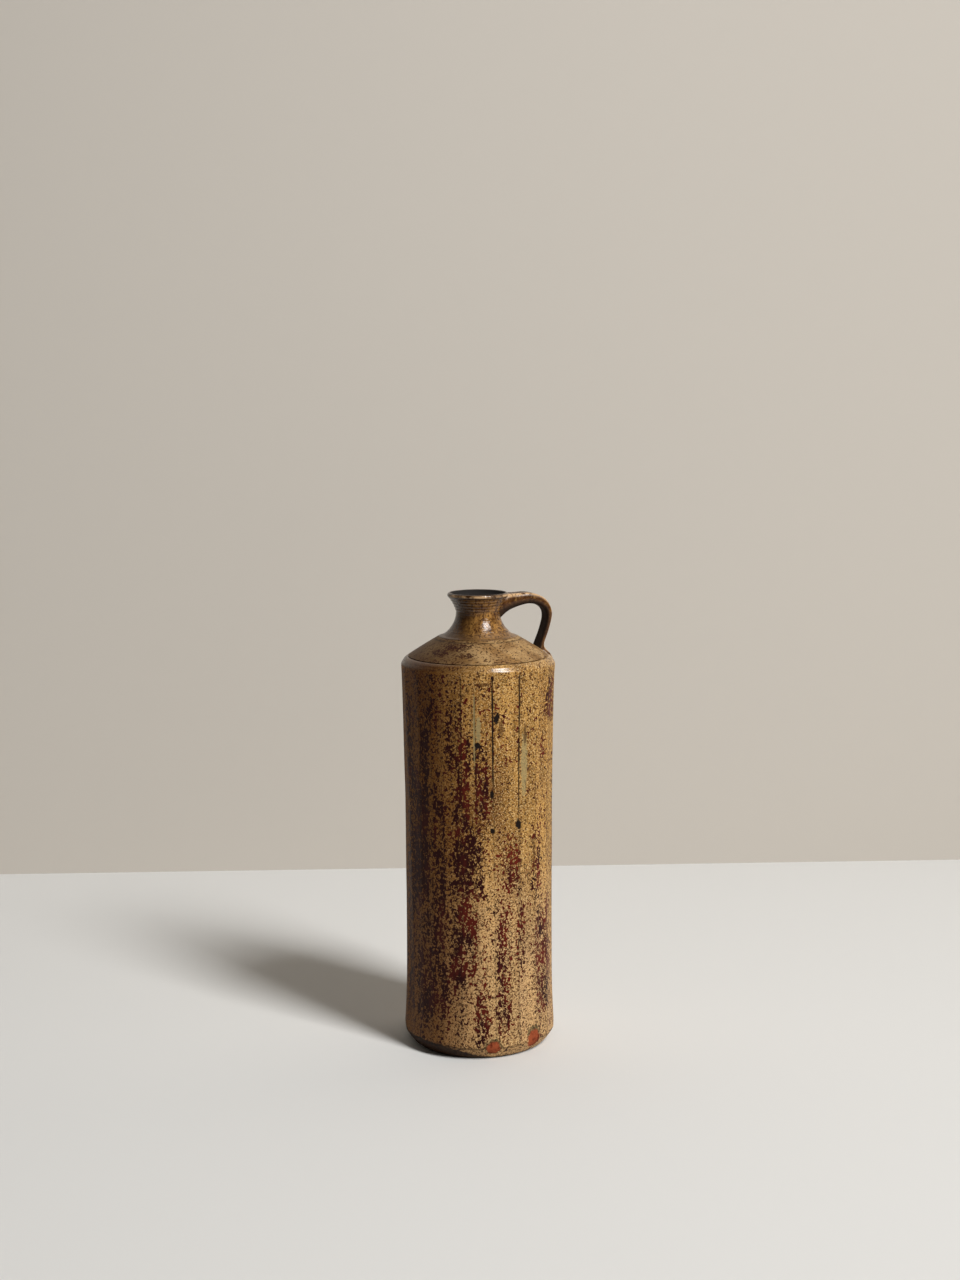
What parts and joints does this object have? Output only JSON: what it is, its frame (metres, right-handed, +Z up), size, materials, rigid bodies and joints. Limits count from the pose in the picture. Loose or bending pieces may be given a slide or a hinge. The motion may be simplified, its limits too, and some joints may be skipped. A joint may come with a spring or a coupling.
{
  "type": "bottle jug",
  "caption": "Tall faceted stoneware bottle jug with a bevelled foot, sloping shoulder, narrow flared neck and a small one-finger strap handle.",
  "frame": {"origin": "centre of the flat foot, on the surface that the jug stands on", "axes": "+Z up along the axis of the body, +X towards the handle, +Y to the left of someone who looks along +X"},
  "size_m": [0.0947, 0.0944, 0.28],
  "materials": {
    "body_glaze": "satin ochre glaze, thickly speckled with dark iron red in vertical streaks",
    "shoulder_glaze": "semi-matt grey tan glaze with small dark specks",
    "neck_glaze": "glossy brown to ochre glaze over throwing rings",
    "handle_glaze": "glossy brown ochre glaze, paler on the edges"
  },
  "bodies": {
    "root": {"faceted_body": "body_glaze", "shoulder": "shoulder_glaze", "neck": "neck_glaze", "handle": "handle_glaze"}
  },
  "joints": []
}
